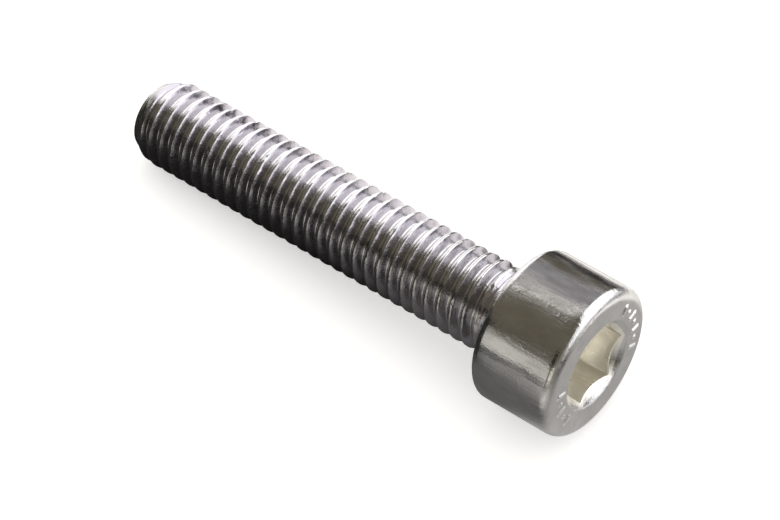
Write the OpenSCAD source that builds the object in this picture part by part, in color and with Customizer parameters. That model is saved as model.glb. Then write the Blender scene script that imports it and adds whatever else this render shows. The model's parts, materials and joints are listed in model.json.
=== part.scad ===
// Hex socket cap screw, M5 x 25, threaded up to its head and lying at rest on its side.
// The shank is the thread's outside cylinder: the fine thread itself is a surface finish.
// The screw is drawn upright, with its bearing face at Z = 0 and its head above, and is then laid
// down. Lying, it rests on the rim of its head and the end of its thread, with its head towards +X.
// The origin is on the surface it lies on, below the middle of its length.

/* [Head] */
// Diameter of the head
head_d = 8.5; // [7.8:0.05:11]
// Height of the head, from its bearing face to its front face
head_h = 5; // [4.2:0.05:8]
// Radius of the rounding between the head's side and its front face
front_round = 0.6; // [0.1:0.05:0.7]
// Radius of the rounding between the head's side and its bearing face
back_round = 0.5; // [0.1:0.05:0.6]

/* [Socket] */
// Distance across the flats of the hexagon
socket_af = 4.05; // [3:0.05:4.4]
// Depth of the flats, measured from the front face
socket_depth = 2.6; // [1.5:0.05:3.1]
// Width of the chamfer outside the hexagon's corners, measured on the front face
mouth_rim = 0.26; // [0.05:0.01:0.35]
// Angle across the chamfer's cone
mouth_angle = 100; // [80:1:130]
// Angle across the cone that the punch leaves at the bottom
bottom_angle = 150; // [130:1:170]
// Width of the flat ledge between that cone and the hexagon's flats
bottom_ledge = 0.05; // [0.02:0.01:0.3]
// Turn of the hexagon about the screw's axis
socket_turn = 30; // [0:1:60]

/* [Raised marks] */
// How far the plain marks stand out of the front face
mark_h = 0.08; // [0.04:0.01:0.2]
// Width of a mark
mark_w = 0.2; // [0.1:0.02:0.3]
// Gap from the ends of a long mark to the socket's mouth and to the front rounding
mark_margin = 0.24; // [0.1:0.02:0.3]
// Number of marks in the longer row, which is an odd number
marks_long_row = 7; // [3:2:9]
// Number of marks in the shorter row, which is an odd number
marks_short_row = 5; // [3:2:9]
// Angle from one mark to the next
mark_step = 11; // [8:1:14]
// Direction of the middle of the longer row, about the screw's axis
marks_turn = 100; // [0:5:360]

/* [Shank] */
// Length of the shank, from the bearing face to the tip
shank_l = 25; // [10:0.5:50]
// Outside diameter of the thread
thread_d = 4.9; // [4:0.05:5.6]
// Diameter of the plain neck below the head, where the thread runs out
neck_d = 4.5; // [3.5:0.05:5]
// Length of the plain neck, from the bearing face
neck_l = 1.2; // [0.8:0.05:2.4]
// Length of the cone from the neck up to the thread's outside
shoulder_l = 0.3; // [0.1:0.05:0.8]
// Radius of the fillet between the neck and the bearing face
fillet_r = 0.3; // [0.1:0.05:0.5]
// Length of the chamfer at the tip
tip_l = 1; // [0.3:0.05:2]
// Diameter of the flat end of the tip
tip_d = 3.8; // [2:0.05:3.9]

/* [Hidden] */
$fn = 96;

head_r = head_d / 2;
thread_r = thread_d / 2;
neck_r = min(neck_d, thread_d) / 2;
tip_r = tip_d / 2;

// How far a cutter or a joined solid reaches past the face that it meets
overlap = 0.1;

// Where the round walls start, about the axis. This keeps their seams off the line that the lying
// screw rests on.
seam_turn = 22;

// The socket: corner radius, the chamfer's cone and the bottom's cone
corner_r = socket_af / 2 / cos(30);
mouth_r = corner_r + mouth_rim;
mouth_slope = tan(mouth_angle / 2);
mouth_depth = mouth_r / mouth_slope;
bottom_r = socket_af / 2 - bottom_ledge;
bottom_depth = bottom_r / tan(bottom_angle / 2);

// The marks sit on the ring between the socket's mouth and the front rounding. A long mark is a bar
// between two round ends.
ring_w = head_r - front_round - mouth_r;
mark_circle_r = mouth_r + ring_w / 2;
bar_l = max(0, ring_w - 2 * mark_margin - mark_w);

// At rest the head's back rounding and the thread's last full turn touch the surface. The line that
// touches both is tilted against the axis by the angle of the step between them, seen over the
// length between them, plus what the rounding adds.
step_h = head_r - back_round - thread_r;
step_l = shank_l - tip_l + back_round;
rest_tilt = atan2(step_h, step_l) + asin(back_round / norm([step_h, step_l]));

// The lying screw's lowest height and its two ends along X, measured from the bearing face's centre
rest_low = -(shank_l - tip_l) * sin(rest_tilt) - thread_r * cos(rest_tilt);
rest_back = -shank_l * cos(rest_tilt) - tip_r * sin(rest_tilt);
rest_front = (head_h - front_round) * cos(rest_tilt) + (head_r - front_round) * sin(rest_tilt)
    + front_round;

// Half of the head's section, with both rims rounded
module head_section() {
    translate([0, back_round])
        square([head_r, head_h - back_round - front_round]);
    square([head_r - back_round, head_h]);
    square([head_r - front_round, head_h]);
    translate([head_r - back_round, back_round])
        circle(back_round);
    translate([head_r - front_round, head_h - front_round])
        circle(front_round);
}

// The head: one forged barrel
module head() {
    rotate_extrude()
        intersection() {
            head_section();
            square([head_r, head_h]);
        }
}

// The fillet's section, which fills the corner between the neck and the bearing face
module fillet_section() {
    difference() {
        translate([0, -fillet_r])
            square([neck_r + fillet_r, fillet_r + overlap]);
        translate([neck_r + fillet_r, -fillet_r])
            circle(fillet_r);
    }
}

// The shank: fillet, plain neck, shoulder, the thread's outside cylinder and the chamfered tip
module shank() {
    thread_l = shank_l - neck_l - shoulder_l - tip_l;
    rotate_extrude()
        fillet_section();
    translate([0, 0, -neck_l])
        cylinder(h = neck_l + overlap, r = neck_r);
    translate([0, 0, -neck_l - shoulder_l])
        cylinder(h = shoulder_l, r1 = thread_r, r2 = neck_r);
    translate([0, 0, tip_l - shank_l])
        cylinder(h = thread_l, r = thread_r);
    translate([0, 0, -shank_l])
        cylinder(h = tip_l, r1 = tip_r, r2 = thread_r);
}

// Cutter for the key's socket: the chamfered mouth, the hexagon and the cone at its bottom
module socket() {
    translate([0, 0, head_h - socket_depth])
        rotate([0, 0, socket_turn])
            cylinder(h = socket_depth + overlap, r = corner_r, $fn = 6);
    translate([0, 0, head_h - mouth_depth])
        cylinder(h = mouth_depth + overlap, r1 = 0, r2 = mouth_r + overlap * mouth_slope);
    translate([0, 0, head_h - socket_depth - bottom_depth])
        cylinder(h = bottom_depth, r1 = 0, r2 = bottom_r);
}

// One plain raised mark: a dot, or with a length a bar with round ends that points at the axis
module mark(length) {
    h = mark_h + overlap;
    for (end = [-1, 1])
        translate([end * length / 2, 0, -overlap])
            cylinder(h = h, d = mark_w, $fn = 32);
    if (length > 0)
        translate([-length / 2, -mark_w / 2, -overlap])
            cube([length, mark_w, h]);
}

// A row of marks along the front face, bars and dots by turns, with its middle at angle turn
module mark_row(count, turn) {
    for (i = [0 : count - 1])
        rotate([0, 0, turn + (i - (count - 1) / 2) * mark_step])
            translate([mark_circle_r, 0, head_h])
                mark(i % 2 == 0 ? bar_l : 0);
}

// The whole screw, upright
module upright() {
    difference() {
        rotate([0, 0, seam_turn])
            union() {
                head();
                shank();
            }
        socket();
    }
    mark_row(marks_long_row, marks_turn);
    mark_row(marks_short_row, marks_turn + 180);
}

// The screw as it lies at rest
module cap_screw() {
    color("lightsteelblue")
        translate([-(rest_front + rest_back) / 2, 0, -rest_low])
            rotate([0, 90 - rest_tilt, 0])
                upright();
}

cap_screw();
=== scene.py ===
"""A hex socket cap screw, M5 x 25, lying on a pale floor in soft studio light.

The screw is one mesh. It is worked out in millimetres about its own axis, with Z up through the
head and the bearing face at Z = 0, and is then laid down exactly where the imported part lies.
"""

import json
import math

import bpy
import numpy as np
from mathutils import Matrix, Vector, noise


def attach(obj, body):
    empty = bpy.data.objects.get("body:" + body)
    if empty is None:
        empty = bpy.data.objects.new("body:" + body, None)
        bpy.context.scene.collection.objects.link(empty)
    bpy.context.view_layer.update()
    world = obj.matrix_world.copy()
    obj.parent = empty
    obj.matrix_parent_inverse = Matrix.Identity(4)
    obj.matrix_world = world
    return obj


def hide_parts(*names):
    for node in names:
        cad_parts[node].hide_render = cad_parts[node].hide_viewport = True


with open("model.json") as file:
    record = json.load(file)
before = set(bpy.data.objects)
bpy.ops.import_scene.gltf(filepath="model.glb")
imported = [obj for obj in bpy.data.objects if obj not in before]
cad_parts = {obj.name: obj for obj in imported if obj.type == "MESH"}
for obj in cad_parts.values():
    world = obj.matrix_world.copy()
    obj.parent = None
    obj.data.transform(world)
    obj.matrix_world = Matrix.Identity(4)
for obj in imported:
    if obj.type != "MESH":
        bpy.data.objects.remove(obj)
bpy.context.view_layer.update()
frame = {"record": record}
mounts = {mount["name"]: mount for mount in frame["record"]["mounts"]}

MM = 0.001
TURN = 2 * math.pi

# The head and its rings, in mm, as in the part
HEAD_R = mounts["head_barrel"]["dims"]["r_mm"]
HEAD_H = 5.0
FRONT_ROUND = 0.6
BACK_ROUND = 0.5
NECK_R = 2.25
FILLET_R = 0.3

# The socket
SOCKET_AF = 4.05
SOCKET_DEPTH = 2.6
MOUTH_RIM = 0.26
MOUTH_SLOPE = math.tan(math.radians(50))
LEDGE = 0.05
BOTTOM_SLOPE = math.tan(math.radians(75))
SOCKET_TURN = 30
CORNER_SOFT = 0.1

# The raised marks, which are domed and a little larger than the part's. A row is its number of
# marks and the direction of its middle, in degrees.
MARK_H = 0.08
MARK_W = 0.25
MARK_FOOT = 0.07
MARK_MARGIN = 0.2
MARK_STEP = 11
MARK_ROWS = ((7, 100), (5, 280))

# The thread: a right-handed metric thread with rounded crests and roots. FLANK_RISE is its height
# with sharp edges, ROOT_START the height of one root at angle 0, and RUN_OUT the heights where the
# thread starts and is full. Its crests have slight waves and a few nicks.
THREAD_R = mounts["threaded_shank"]["dims"]["r_mm"]
PITCH = 0.8
FLANK_RISE = PITCH * math.cos(math.radians(30))
PITCH_R = 2.24
ROOT_R = 2.01
ROOT_CURVE = 0.18
CREST_CURVE = 0.2
ROOT_SOFT = 0.03
CREST_SOFT = 0.012
ROOT_START = -0.888 - PITCH * 176.2 / 360
RUN_OUT = (-0.75, -1.75)
WAVE_DEPTH = 0.006
NICK_DEPTH = 0.09

# The shank's end: a chamfer, a soft edge and a shallow dish
SHANK_L = 25.0
TIP_L = 1.0
TIP_R = 1.9
TIP_SOFT = 0.12
TIP_EDGE = 0.2
TIP_DROP = 0.03
TIP_DISH = 0.06

FACE_Z = HEAD_H
CORNER_R = SOCKET_AF / 2 / math.cos(math.radians(30))
MOUTH_R = CORNER_R + MOUTH_RIM
RING_IN, RING_OUT = MOUTH_R, HEAD_R - FRONT_ROUND
MARK_R = (RING_IN + RING_OUT) / 2
BAR_L = max(0.0, RING_OUT - RING_IN - 2 * MARK_MARGIN - MARK_W)

# The screw's finishes, in the order of its materials. The socket's and the marks' steel are lighter, as
# painted light, and the head-facing flank's steel darker, as painted shade.
SIDE, FACE, SOCKET, THREAD, MARK, FLANK = range(6)
# The face's finish starts this far down the front rounding, and this far inside the mouth
FACE_DOWN = 0.35
FACE_IN = 0.1


def smooth_step(low, high, x):
    """0 at low and 1 at high, with a soft start and end."""
    t = np.clip((x - low) / (high - low), 0, 1)
    return t * t * (3 - 2 * t)


def smooth_min(a, b, soft):
    """The smaller of two values, blended where they are within soft of each other."""
    h = np.clip(0.5 + 0.5 * (b - a) / soft, 0, 1)
    return b + (a - b) * h - soft * h * (1 - h)


def smooth_max(a, b, soft):
    """The larger of two values, blended in the same way."""
    return -smooth_min(-a, -b, soft)


# ---------------------------------------------------------------- the head's section at each angle


def hexagon_radius(angles):
    """The hexagon's radius at each angle, with softly rounded corners."""
    from_corner = (angles - math.radians(SOCKET_TURN) + TURN / 12) % (TURN / 6) - TURN / 12
    flat = SOCKET_AF / 2 / np.cos(TURN / 12 - np.abs(from_corner))
    other = SOCKET_AF / 2 / np.cos(TURN / 12 + np.abs(from_corner))
    return smooth_min(flat, other, CORNER_SOFT)


def marks(radius, angles):
    """Height of the raised marks at each point of the front face: bars and dots with domed tops."""
    x, y = radius * np.cos(angles), radius * np.sin(angles)
    height = np.zeros(np.broadcast(x, y).shape)
    for count, middle in MARK_ROWS:
        for i in range(count):
            turn = math.radians(middle + (i - (count - 1) / 2) * MARK_STEP)
            half = BAR_L / 2 if i % 2 == 0 else 0.0
            along = x * math.cos(turn) + y * math.sin(turn) - MARK_R
            across = -x * math.sin(turn) + y * math.cos(turn)
            away = np.hypot(along - np.clip(along, -half, half), across) / (MARK_W / 2 + MARK_FOOT)
            # 1 in the middle, where it is rounded off, and 0 at the mark's foot
            dome = np.clip((1.04 - np.hypot(away, 0.2)) / 0.84, 0, 1)
            height = np.maximum(height, MARK_H * dome)
    return height


def corner(start, tip, end, steps):
    """Points round a corner: a curve from start to end that bends towards tip."""
    found = []
    for t in np.linspace(0, 1, steps):
        found.append(
            tuple((1 - t) ** 2 * a + 2 * t * (1 - t) * b + t**2 * c for a, b, c in zip(start, tip, end))
        )
    return found


def arc(centre, radius, first, last, steps):
    """Points along a circle, from one angle in degrees to another."""
    return [
        (centre[0] + radius * math.cos(a), centre[1] + radius * math.sin(a))
        for a in np.radians(np.linspace(first, last, steps))
    ]


def head_rows(angles):
    """The head's section from the socket's bottom, round the head, to the bearing face: a list of
    rings, each with its radius and height at every angle."""
    hexagon = hexagon_radius(angles)
    floor_z = FACE_Z - SOCKET_DEPTH
    bottom_r = SOCKET_AF / 2 - LEDGE
    wall_z = FACE_Z - (MOUTH_R - hexagon) / MOUTH_SLOPE
    edge = 0.04

    rows = [(bottom_r * f, floor_z - bottom_r * (1 - f) / BOTTOM_SLOPE) for f in (0.3, 0.6, 0.85, 1.0)]
    rows += corner((hexagon - edge, floor_z), (hexagon, floor_z), (hexagon, floor_z + edge), 3)
    for f in np.linspace(0.08, 1, 6)[:-1]:
        rows.append((hexagon, floor_z + edge + (wall_z - floor_z - 2 * edge) * f))
    mouth_end = (MOUTH_R - edge, FACE_Z - edge / MOUTH_SLOPE)
    mouth_start = (hexagon + edge, wall_z + edge / MOUTH_SLOPE)
    rows += corner((hexagon, wall_z - edge), (hexagon, wall_z), mouth_start, 4)
    for f in (0.15, 0.5, 0.85):
        rows.append(tuple(a * (1 - f) + b * f for a, b in zip(mouth_start, mouth_end)))
    rows += corner(mouth_end, (MOUTH_R, FACE_Z), (MOUTH_R + edge, FACE_Z), 4)

    for radius in np.linspace(MOUTH_R + edge, RING_OUT, 28)[1:-1]:
        rows.append((radius, FACE_Z + marks(radius, angles)))
    rows += arc((RING_OUT, FACE_Z - FRONT_ROUND), FRONT_ROUND, 90, 0, 12)
    for z in np.linspace(FACE_Z - FRONT_ROUND, BACK_ROUND, 9)[1:-1]:
        rows.append((HEAD_R, z))
    rows += arc((HEAD_R - BACK_ROUND, BACK_ROUND), BACK_ROUND, 0, -90, 9)
    rows += [(HEAD_R - BACK_ROUND - 0.1, 0.0), (NECK_R + FILLET_R + 0.4, 0.0)]
    return rows


def head_angles():
    """Angles round the head, closer together at the hexagon's corners and across the marks."""
    found = [np.radians(np.arange(0, 360, 2.5))]
    steps = (0.4, 0.9, 1.5, 2.2, 3, 4, 6)
    near = np.array([-step for step in reversed(steps)] + [0] + list(steps))
    for i in range(6):
        found.append(np.radians(SOCKET_TURN + 60 * i + near))
    for count, middle in MARK_ROWS:
        half = (count - 1) / 2 * MARK_STEP + 3.5
        found.append(np.radians(np.arange(middle - half, middle + half, 0.72)))
    every = np.sort(np.concatenate(found) % TURN)
    keep = [every[0]]
    for angle in every[1:]:
        if angle - keep[-1] > math.radians(0.3):
            keep.append(angle)
    return np.array(keep)


# ---------------------------------------------------------------- the thread

# Where a turn of the thread is sampled, as shares of the pitch from the root
HALF_TURN = (0, 0.05, 0.085, 0.11, 0.24, 0.375, 0.392, 0.406, 0.45)
SAMPLES = HALF_TURN + (0.5,) + tuple(1 - share for share in HALF_TURN[:0:-1])
COLUMNS = 120
THREAD_TOP = -0.45
THREAD_END = -(SHANK_L - 0.1)


def thread_radius(z, angles):
    """The thread's radius at a height and an angle."""
    turns = (z - ROOT_START - PITCH * angles / TURN) / PITCH
    from_root = 2 * np.abs((turns + 0.5) % 1 - 0.5)
    flank = PITCH_R + (from_root - 0.5) * FLANK_RISE
    root = ROOT_R + (from_root * PITCH / 2) ** 2 / (2 * ROOT_CURVE)
    crest = THREAD_R - ((1 - from_root) * PITCH / 2) ** 2 / (2 * CREST_CURVE)
    cut = smooth_min(smooth_max(flank, root, ROOT_SOFT), crest, CREST_SOFT)
    run_out = smooth_step(*RUN_OUT, z)
    radius = NECK_R + (cut - NECK_R) * run_out
    cone = TIP_R + (z + SHANK_L) * (THREAD_R - TIP_R) / TIP_L
    return smooth_min(radius, cone, TIP_SOFT)


def dent(z, radius, angle):
    """Small nicks and waviness along the thread's crests."""
    at = Vector((radius * math.cos(angle), radius * math.sin(angle), z))
    wave = noise.noise(at * 1.3 + Vector((3.1, 0.7, 5.9)))
    nick = max(0.0, noise.noise(at * 4.1 + Vector((11.3, 2.9, 7.7))) - 0.28)
    crest = min(1.0, max(0.0, (radius - PITCH_R) / (THREAD_R - PITCH_R)))
    return -crest * (WAVE_DEPTH * abs(wave) + NICK_DEPTH * nick)


class Builder:
    """Collects the vertices and faces of the one closed mesh."""

    def __init__(self):
        self.points, self.faces, self.finish = [], [], []

    def ring(self, radius, z, angles):
        """Adds a ring of vertices and gives their numbers."""
        first = len(self.points)
        radius, z = np.broadcast_to(radius, angles.shape), np.broadcast_to(z, angles.shape)
        self.points += list(zip(radius * np.cos(angles), radius * np.sin(angles), z))
        return np.arange(first, first + len(angles))

    def face(self, corners, finish):
        """Adds a face, without the corners that repeat. One that has fallen flat is left out."""
        kept = [c for i, c in enumerate(corners) if c != corners[i - 1]]
        if len(kept) > 2:
            self.faces.append(kept)
            self.finish.append(finish)

    def band(self, upper, lower, finish, raised=None):
        """Quads from one ring to the next, which lies after it along the section. Where raised is true
        they take the marks' finish, a brighter steel that paints a glint on them."""
        n = len(upper)
        for j in range(n):
            k = (j + 1) % n
            marked = raised is not None and (raised[j] or raised[k])
            self.face((upper[j], lower[j], lower[k], upper[k]), MARK if marked else finish)

    def fan(self, ring, centre, finish, outward):
        """Triangles from a ring to one vertex."""
        n = len(ring)
        for j in range(n):
            a, b = ring[j], ring[(j + 1) % n]
            self.face((centre, a, b) if outward else (centre, b, a), finish)

    def bridge(self, upper, upper_angles, lower, lower_angles, finish):
        """Triangles between two rings with different angles."""
        n, m = len(upper), len(lower)
        i = j = 0
        while i < n or j < m:
            next_upper = upper_angles[(i + 1) % n] + TURN * ((i + 1) // n)
            next_lower = lower_angles[(j + 1) % m] + TURN * ((j + 1) // m)
            if j == m or (i < n and next_upper <= next_lower):
                self.face((upper[i % n], lower[j % m], upper[(i + 1) % n]), finish)
                i += 1
            else:
                self.face((upper[i % n], lower[j % m], lower[(j + 1) % m]), finish)
                j += 1


def thread_rings(build, angles):
    """Rows that follow the helix, held between the neck's ring and the tip's ring."""
    lowest, highest = THREAD_END + 0.02, THREAD_TOP - 0.02
    per_turn = len(SAMPLES)
    shares = np.array(SAMPLES) * PITCH
    first_turn = math.floor((THREAD_END - ROOT_START) / PITCH) - 2
    last_turn = math.ceil((THREAD_TOP - ROOT_START) / PITCH) + 1
    bases = np.concatenate([ROOT_START + t * PITCH + shares for t in range(first_turn, last_turn + 1)])
    top = build.ring(thread_radius(THREAD_TOP, angles), THREAD_TOP, angles)
    end = build.ring(thread_radius(THREAD_END, angles), THREAD_END, angles)

    index = np.empty((len(bases) + per_turn, len(angles)), int)
    for j, angle in enumerate(angles):
        z = bases + PITCH * angle / TURN
        inside = (z > lowest) & (z < highest)
        radius = thread_radius(z, angle)
        first = len(build.points)
        for height, r in zip(z[inside], radius[inside]):
            r += dent(height, r, angle)
            build.points.append((r * math.cos(angle), r * math.sin(angle), height))
        column = np.where(z <= lowest, end[j], top[j])
        column[inside] = np.arange(first, len(build.points))
        index[: len(bases), j] = column
        index[len(bases) :, j] = top[j]

    n = len(angles)
    for i in range(len(bases) - 1):
        # The head-facing flank takes the darker, violet-tinted steel, as painted shade.
        towards_head = 0.6 < SAMPLES[i % per_turn] < 0.9
        for j in range(n):
            k, shift = (j + 1, 0) if j + 1 < n else (0, per_turn)
            corners = (index[i, j], index[i + shift, k], index[i + 1 + shift, k], index[i + 1, j])
            build.face(corners, FLANK if towards_head else THREAD)
    return top, end


def screw_mesh():
    """The whole screw, from the socket's bottom round the head and along the shank to the tip."""
    build = Builder()
    angles = head_angles()
    rows = head_rows(angles)
    rings = [build.ring(radius, z, angles) for radius, z in rows]
    heights = [float(np.max(z)) for _, z in rows]
    widths = [float(np.max(r)) for r, _ in rows]
    for i in range(len(rings) - 1):
        past_mouth = widths[i] > MOUTH_R - FACE_IN
        on_face = past_mouth and min(heights[i], heights[i + 1]) >= FACE_Z - FACE_DOWN
        in_socket = widths[i + 1] < MOUTH_R - FACE_IN
        # Inside the mouth the lighter socket steel paints light on the socket's walls.
        finish = FACE if on_face else SOCKET if in_socket else SIDE
        raised = np.broadcast_to(rows[i][1], angles.shape) > FACE_Z + MARK_H / 4
        build.band(rings[i], rings[i + 1], finish, raised)
    build.points.append((0, 0, FACE_Z - SOCKET_DEPTH - (SOCKET_AF / 2 - LEDGE) / BOTTOM_SLOPE))
    build.fan(rings[0], len(build.points) - 1, SOCKET, outward=True)

    columns = np.arange(COLUMNS) * TURN / COLUMNS
    bearing = build.ring(NECK_R + FILLET_R + 0.1, 0.0, columns)
    build.bridge(rings[-1], angles, bearing, columns, SIDE)
    before = bearing
    for radius, z in arc((NECK_R + FILLET_R, -FILLET_R), FILLET_R, 90, 180, 6):
        ring = build.ring(radius, z, columns)
        build.band(before, ring, THREAD)
        before = ring
    top, end = thread_rings(build, columns)
    build.band(before, top, THREAD)

    tip = float(thread_radius(np.array(THREAD_END), 0.0))
    before = end
    tip_corner = (tip - TIP_DROP, -SHANK_L)
    for radius, z in corner((tip, THREAD_END), tip_corner, (tip - TIP_EDGE, -SHANK_L), 5)[1:]:
        ring = build.ring(radius, z, columns)
        build.band(before, ring, THREAD)
        before = ring
    for f in (0.9, 0.7, 0.45, 0.2):
        radius = (tip - TIP_EDGE) * f
        ring = build.ring(radius, -SHANK_L + TIP_DISH * (1 - f) ** 0.7, columns)
        build.band(before, ring, FACE)
        before = ring
    build.points.append((0, 0, -SHANK_L + TIP_DISH))
    build.fan(before, len(build.points) - 1, FACE, outward=False)
    return build


# ---------------------------------------------------------------- where the screw lies

axis = Vector(mounts["hex_socket"]["axis"]).normalized()
face_centre = Vector(mounts["hex_socket"]["pos_m"])
across = Vector((axis.z, 0, -axis.x))
laid = Matrix((across, Vector((0, 1, 0)), axis)).transposed().to_4x4()
laid.translation = face_centre - axis * HEAD_H * MM


# ---------------------------------------------------------------- materials


def steel(name, colour, rough, rough_noise, streak, grain, dents):
    """Bright stainless steel. rough is the range of roughness, and rough_noise its stretch and scale
    per mm. streak, grain and dents are three layers of bump: each gives a stretch, a scale per mm,
    a depth in mm, and the two values of the noise that the depth lies between."""
    material = bpy.data.materials.new(name)
    material.use_nodes = True
    nodes, links = material.node_tree.nodes, material.node_tree.links
    shader = nodes["Principled BSDF"]
    shader.inputs["Metallic"].default_value = 1.0
    along = nodes.new("ShaderNodeMapping")
    along.vector_type = "TEXTURE"
    along.inputs["Location"].default_value = laid.translation
    along.inputs["Rotation"].default_value = laid.to_euler()
    links.new(nodes.new("ShaderNodeTexCoord").outputs["Object"], along.inputs["Vector"])
    place = along.outputs["Vector"]

    def pattern(stretch, scale, detail, seed):
        """Noise in the screw's own frame."""
        mapping = nodes.new("ShaderNodeMapping")
        mapping.inputs["Scale"].default_value = [s * scale / MM for s in stretch]
        mapping.inputs["Location"].default_value = (seed, seed * 0.7, seed * 1.3)
        texture = nodes.new("ShaderNodeTexNoise")
        texture.inputs["Scale"].default_value = 1.0
        texture.inputs["Detail"].default_value = detail
        texture.inputs["Roughness"].default_value = 0.6
        links.new(place, mapping.inputs["Vector"])
        links.new(mapping.outputs["Vector"], texture.inputs["Vector"])
        return texture.outputs["Fac"]

    def spread(value, low, high, from_low=0.3, from_high=0.7):
        """The middle of the noise's range, spread from low to high."""
        ranged = nodes.new("ShaderNodeMapRange")
        ranged.inputs["From Min"].default_value = from_low
        ranged.inputs["From Max"].default_value = from_high
        ranged.inputs["To Min"].default_value = low
        ranged.inputs["To Max"].default_value = high
        links.new(value, ranged.inputs["Value"])
        return ranged.outputs["Result"]

    tint = nodes.new("ShaderNodeValToRGB")
    tint.color_ramp.elements[0].position = 0.3
    tint.color_ramp.elements[1].position = 0.7
    tint.color_ramp.elements[0].color = (*[c * 0.84 for c in colour], 1)
    tint.color_ramp.elements[1].color = (*colour, 1)
    links.new(pattern((1, 1, 0.5), 1.1, 3, 2.3), tint.inputs["Fac"])
    links.new(tint.outputs["Color"], shader.inputs["Base Color"])
    links.new(spread(pattern(*rough_noise, 3, 5.1), *rough), shader.inputs["Roughness"])

    normal = None
    for seed, (stretch, scale, depth, low, high) in enumerate((streak, grain, dents)):
        bump = nodes.new("ShaderNodeBump")
        bump.inputs["Strength"].default_value = 1.0
        bump.inputs["Distance"].default_value = depth * MM
        height = spread(pattern(stretch, scale, 2, 7.7 + 3 * seed), 0, 1, low, high)
        links.new(height, bump.inputs["Height"])
        if normal is not None:
            links.new(normal, bump.inputs["Normal"])
        normal = bump.outputs["Normal"]
    links.new(normal, shader.inputs["Normal"])
    return material


STEEL = (0.66, 0.65, 0.64)
side_steel = steel(
    "rolled_side_steel", STEEL, (0.12, 0.3), ((1, 1, 0.25), 2.2),
    streak=((1, 1, 0.12), 3.2, 0.0055, 0.3, 0.7),
    grain=((1, 1, 0.8), 13, 0.002, 0.3, 0.7),
    dents=((1, 1, 1), 1.7, 0.004, 0.6, 0.75),
)
face_steel = steel(
    "forged_face_steel", STEEL, (0.26, 0.42), ((1, 1, 1), 3.0),
    streak=((1, 1, 1), 3.1, 0.006, 0.3, 0.7),
    grain=((1, 1, 1), 12, 0.0022, 0.3, 0.7),
    dents=((1, 1, 1), 2.3, 0.004, 0.6, 0.75),
)
# The socket's steel is rougher, and its lighter, creamier colour is painted light: it brightens the
# socket's walls as if lit.
socket_steel = steel(
    "punched_socket_steel_painted_light", (0.97, 0.94, 0.86), (0.24, 0.4), ((1, 1, 0.2), 3.0),
    streak=((1, 1, 0.08), 6.0, 0.0018, 0.3, 0.7),
    grain=((1, 1, 1), 14, 0.001, 0.3, 0.7),
    dents=((1, 1, 1), 2.9, 0.003, 0.6, 0.75),
)
THREAD_BUMP = {
    "streak": ((0.15, 0.15, 1), 9.0, 0.0018, 0.3, 0.7),
    "grain": ((1, 1, 1), 9, 0.0015, 0.3, 0.7),
    "dents": ((1, 1, 1), 3.4, 0.006, 0.58, 0.72),
}
thread_steel = steel("rolled_thread_steel", STEEL, (0.13, 0.3), ((1, 1, 1), 2.6), **THREAD_BUMP)
# The head-facing flank has a darker, violet-tinted copy of the thread's steel: painted shade with a
# painted violet reflection.
flank_steel = steel(
    "flank_steel_painted_shade", (0.54, 0.51, 0.56), (0.16, 0.32), ((1, 1, 1), 2.6), **THREAD_BUMP
)
# The marks' steel is brighter than the rest: a painted glint on the raised marks.
mark_steel = steel(
    "mark_steel_painted_glint", (0.9, 0.9, 0.9), (0.2, 0.32), ((1, 1, 1), 3.0),
    streak=((1, 1, 1), 3.1, 0.002, 0.3, 0.7),
    grain=((1, 1, 1), 12, 0.001, 0.3, 0.7),
    dents=((1, 1, 1), 2.3, 0.002, 0.6, 0.75),
)

# ---------------------------------------------------------------- the screw

build = screw_mesh()
screw_data = bpy.data.meshes.new("screw")
points = [laid @ (Vector(p) * MM) for p in build.points]
screw_data.from_pydata(points, [], [tuple(int(c) for c in f) for f in build.faces])
for material in (side_steel, face_steel, socket_steel, thread_steel, mark_steel, flank_steel):
    screw_data.materials.append(material)
screw_data.polygons.foreach_set("material_index", build.finish)
screw_data.shade_smooth()
screw_data.update()

screw = bpy.data.objects.new("screw", screw_data)
bpy.context.scene.collection.objects.link(screw)
even = screw.modifiers.new("even_normals", "WEIGHTED_NORMAL")
even.mode = "FACE_AREA"
even.weight = 50
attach(screw, "root")
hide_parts("cap_screw")

# ---------------------------------------------------------------- floor, light and camera

# In metres
FLOOR_HALF = 1.5
SHADE_LIFT = 0.00001
LIGHT_AWAY = 0.4


def plain(name, colour, glow=(1, 1, 1), strength=0.0):
    """A dull material, which can give off light as well."""
    material = bpy.data.materials.new(name)
    material.use_nodes = True
    shader = material.node_tree.nodes["Principled BSDF"]
    shader.inputs["Base Color"].default_value = (*colour, 1)
    shader.inputs["Roughness"].default_value = 0.9
    shader.inputs["Specular IOR Level"].default_value = 0.0
    shader.inputs["Emission Color"].default_value = (*glow, 1)
    shader.inputs["Emission Strength"].default_value = strength
    return material


def stage_object(name, points, faces, material):
    """An object of the stage, from its points in metres and its faces."""
    data = bpy.data.meshes.new(name)
    data.from_pydata(points, [], faces)
    data.materials.append(material)
    obj = bpy.data.objects.new(name, data)
    bpy.context.scene.collection.objects.link(obj)
    return obj


def flat_square(name, half, z, material):
    """A level square of the stage, centred below the screw."""
    corners = [(-half, -half, z), (half, -half, z), (half, half, z), (-half, half, z)]
    return stage_object(name, corners, [(0, 1, 2, 3)], material)


def hide_from_camera(obj):
    """Keeps a stage object to what the steel reflects."""
    obj.visible_camera = False
    obj.visible_diffuse = False
    obj.visible_shadow = False


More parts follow.
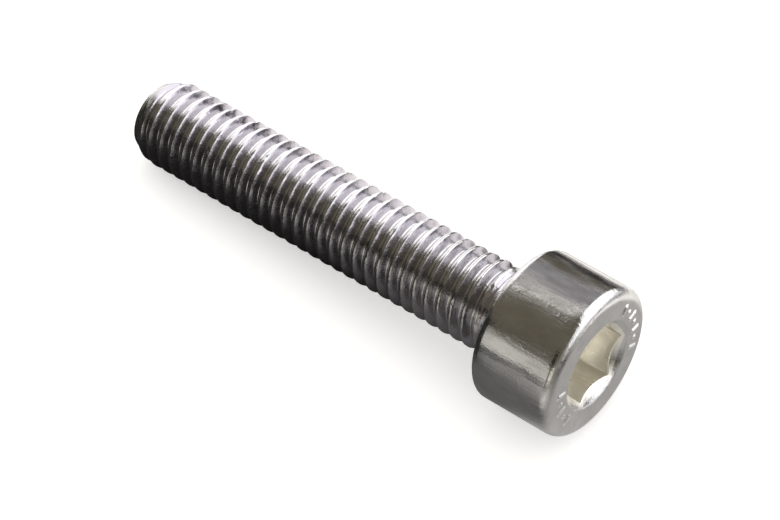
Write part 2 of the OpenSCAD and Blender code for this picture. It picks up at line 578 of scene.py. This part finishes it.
def floor_painted_light():
    """What the steel sees of the floor, painted as light that the floor gives off: dim painted shade
    beside the shank, greyer under the head's side, pale pools of light before the face and far behind."""
    material = plain("floor_painted_light", (0.03, 0.03, 0.03), (1.0, 0.975, 0.94))
    nodes, links = material.node_tree.nodes, material.node_tree.links
    place = nodes.new("ShaderNodeTexCoord").outputs["Object"]

    def joined(kind, a, b):
        node = nodes.new("ShaderNodeMath")
        node.operation = kind
        links.new(a, node.inputs[0])
        links.new(b, node.inputs[1])
        return node.outputs["Value"]

    def rise(value, none, full, share):
        """A soft step from 0 to share, between two lengths in mm."""
        ranged = nodes.new("ShaderNodeMapRange")
        ranged.interpolation_type = "SMOOTHSTEP"
        ranged.inputs["From Min"].default_value = none * MM
        ranged.inputs["From Max"].default_value = full * MM
        ranged.inputs["To Max"].default_value = share
        links.new(value, ranged.inputs["Value"])
        return ranged.outputs["Result"]

    def patch(x, y, none, full, share):
        """A soft round patch of light on the floor."""
        away = nodes.new("ShaderNodeVectorMath")
        away.operation = "DISTANCE"
        away.inputs[1].default_value = (x * MM, y * MM, 0)
        links.new(place, away.inputs[0])
        return rise(away.outputs["Value"], none, full, share)

    def beyond(x, y, none, full, share):
        """Light past a line across the floor, which faces along (x, y)."""
        reach = nodes.new("ShaderNodeVectorMath")
        reach.operation = "DOT_PRODUCT"
        reach.inputs[1].default_value = (x, y, 0)
        links.new(place, reach.inputs[0])
        return rise(reach.outputs["Value"], none, full, share)

    total = joined("MULTIPLY", beyond(0, 1, 8, 13, 1.3), beyond(0.78, -0.63, -11, -7, 1))
    total = joined("MULTIPLY", total, beyond(0, -1, -34, -26, 1))
    strip = joined("MULTIPLY", beyond(0, 1, 4, 7, 1.4), beyond(0, -1, -15, -12, 1))
    total = joined("MAXIMUM", total, joined("MULTIPLY", strip, beyond(-1, 0, -8, -4, 1)))
    for each in (
        patch(20, 3, 12, 7, 0.5),
        patch(24, -40, 34, 22, 0.5),
        patch(11, -8, 12, 4, 0.13),
        patch(31, -13, 15, 6, 0.26),
        patch(20, -15, 9, 4, 0.3),
        patch(50, 27, 24, 14, 1.2),
    ):
        total = joined("ADD", total, each)
    links.new(total, nodes["Principled BSDF"].inputs["Emission Strength"])
    return material


# The camera sees the pale floor, and reflections see the floor's painted light and shade instead
pale = plain("pale_floor", (0.86, 0.86, 0.86), strength=0.42)
floor = flat_square("floor", FLOOR_HALF, 0.0, pale)
floor.visible_glossy = False
shade = flat_square("floor_shade", FLOOR_HALF, SHADE_LIFT, floor_painted_light())
hide_from_camera(shade)


def panel(name, towards, width, height, radiance, colour=(1, 1, 1), glossy=True, diffuse=True):
    """A soft light panel. width and height are the angles in degrees that it fills, seen from the
    screw, and radiance is how bright its surface is."""
    data = bpy.data.lights.new(name, "AREA")
    data.shape = "RECTANGLE"
    data.size = 2 * LIGHT_AWAY * math.tan(math.radians(width / 2))
    data.size_y = 2 * LIGHT_AWAY * math.tan(math.radians(height / 2))
    data.energy = radiance * math.pi * data.size * data.size_y
    data.color = colour
    light = bpy.data.objects.new(name, data)
    outward = Vector(towards).normalized()
    light.location = Vector((0.004, 0, 0.004)) + outward * LIGHT_AWAY
    light.rotation_mode = "QUATERNION"
    light.rotation_quaternion = outward.to_track_quat("Z", "Y")
    light.visible_camera = False
    light.visible_glossy = glossy
    light.visible_diffuse = diffuse
    bpy.context.scene.collection.objects.link(light)


def lit_sheet(name, facing, directions, strength, colour):
    """A flat lit sheet seen only in reflections, given by the directions of its corners."""
    facing = Vector(facing).normalized()
    ends = [Vector(end) * (LIGHT_AWAY / Vector(end).dot(facing)) for end in directions]
    material = plain(name, (0, 0, 0), colour, strength)
    hide_from_camera(stage_object(name, ends, [tuple(range(len(ends)))], material))


def board(name, corners, faces, glow, strength):
    """A small board close to the screw, seen only in reflections. Its corners are in mm."""
    points = [[c * MM for c in point] for point in corners]
    material = plain(name, (0.03, 0.03, 0.03), glow, strength)
    hide_from_camera(stage_object(name, points, faces, material))


# Most of the light comes from above and behind the head. The other sheets and panels tint or darken
# single bands of the steel.
lit_sheet(
    "key_sheet", (0.45, 0.55, 0.7),
    ((-0.2, 0.3, 0.93), (0.42, 0.13, 0.9), (0.93, -0.27, 0.25), (0.9, 0.4, 0.2),
     (0.6, 0.78, 0.18), (0.42, 0.9, 0.03), (-0.2, 0.97, 0.1)),
    2.2, (0.98, 0.99, 1.0),
)
lit_sheet(
    "front_sheet", (0.45, -0.88, 0.16),
    ((0.2, -0.96, 0.02), (0.68, -0.72, 0.02), (0.64, -0.7, 0.34), (0.2, -0.93, 0.34)),
    1.0, (1.0, 0.97, 0.86),
)
lit_sheet(
    "violet_sheet", (0.75, 0.65, 0.1),
    ((0.97, 0.2, -0.02), (0.97, 0.2, 0.17), (0.5, 0.85, 0.17), (0.5, 0.85, -0.02)),
    0.24, (0.95, 0.86, 1.14),
)
lit_sheet(
    "dark_sheet", (0.02, -0.83, 0.56),
    ((-0.25, -0.85, 0.46), (0.32, -0.85, 0.44), (0.3, -0.68, 0.68), (-0.25, -0.68, 0.7)),
    0.01, (1.0, 1.0, 1.0),
)
panel("streak_panel", (-0.47, 0.22, 0.86), 30, 4.5, 1.5, diffuse=False)
panel("side_panel", (-0.46, 0.68, 0.6), 40, 34, 0.17, (0.88, 0.9, 1.18), diffuse=False)
panel("low_panel", (-0.5, -0.86, 0.12), 60, 28, 0.62, (1.0, 1.0, 0.96), diffuse=False)
panel("floor_panel", (0, 0, 1), 130, 130, 1.0, glossy=False)

# A dark board keeps the low panel off the shank and lets it reach the head
dark_corners = [(-90, -25, -1), (-5, -25, -1), (-5, -25, 26), (-90, -25, 26)]
board("dark_board", dark_corners, [(0, 1, 2, 3)], (1, 1, 1), 0)

# A white board bent over the shank's far side stops short of the head
bend = [(20 * math.cos(t), 4 + 20 * math.sin(t)) for t in np.radians(np.linspace(-14, 81, 12))]
n = len(bend)
bend_corners = [(x, y, z) for x in (-70, -3) for y, z in bend]
bend_faces = [(i, i + 1, i + 1 + n, i + n) for i in range(n - 1)]
board("white_board", bend_corners, bend_faces, (0.98, 0.98, 1.0), 1.7)

world = bpy.data.worlds.new("studio")
world.use_nodes = True
world.node_tree.nodes["Background"].inputs["Color"].default_value = (1.0, 0.885, 0.67, 1)
world.node_tree.nodes["Background"].inputs["Strength"].default_value = 0.155
bpy.context.scene.world = world
bpy.context.scene.view_settings.view_transform = "Standard"

# The camera looks down on the screw from in front of its head and to one side
azimuth, elevation = math.radians(38.9958), math.radians(51.2407)
to_camera = Vector((
    math.sin(azimuth) * math.cos(elevation),
    -math.cos(azimuth) * math.cos(elevation),
    math.sin(elevation),
))
camera_data = bpy.data.cameras.new("camera")
camera_data.sensor_width = 36
camera_data.lens = 136.715
camera_data.clip_start = 0.01
camera = bpy.data.objects.new("camera", camera_data)
camera.location = face_centre + Vector((48.032, -75.964, 119.722)) * MM
camera.rotation_mode = "QUATERNION"
camera.rotation_quaternion = (-to_camera).to_track_quat("-Z", "Y")
bpy.context.scene.collection.objects.link(camera)
bpy.context.scene.camera = camera
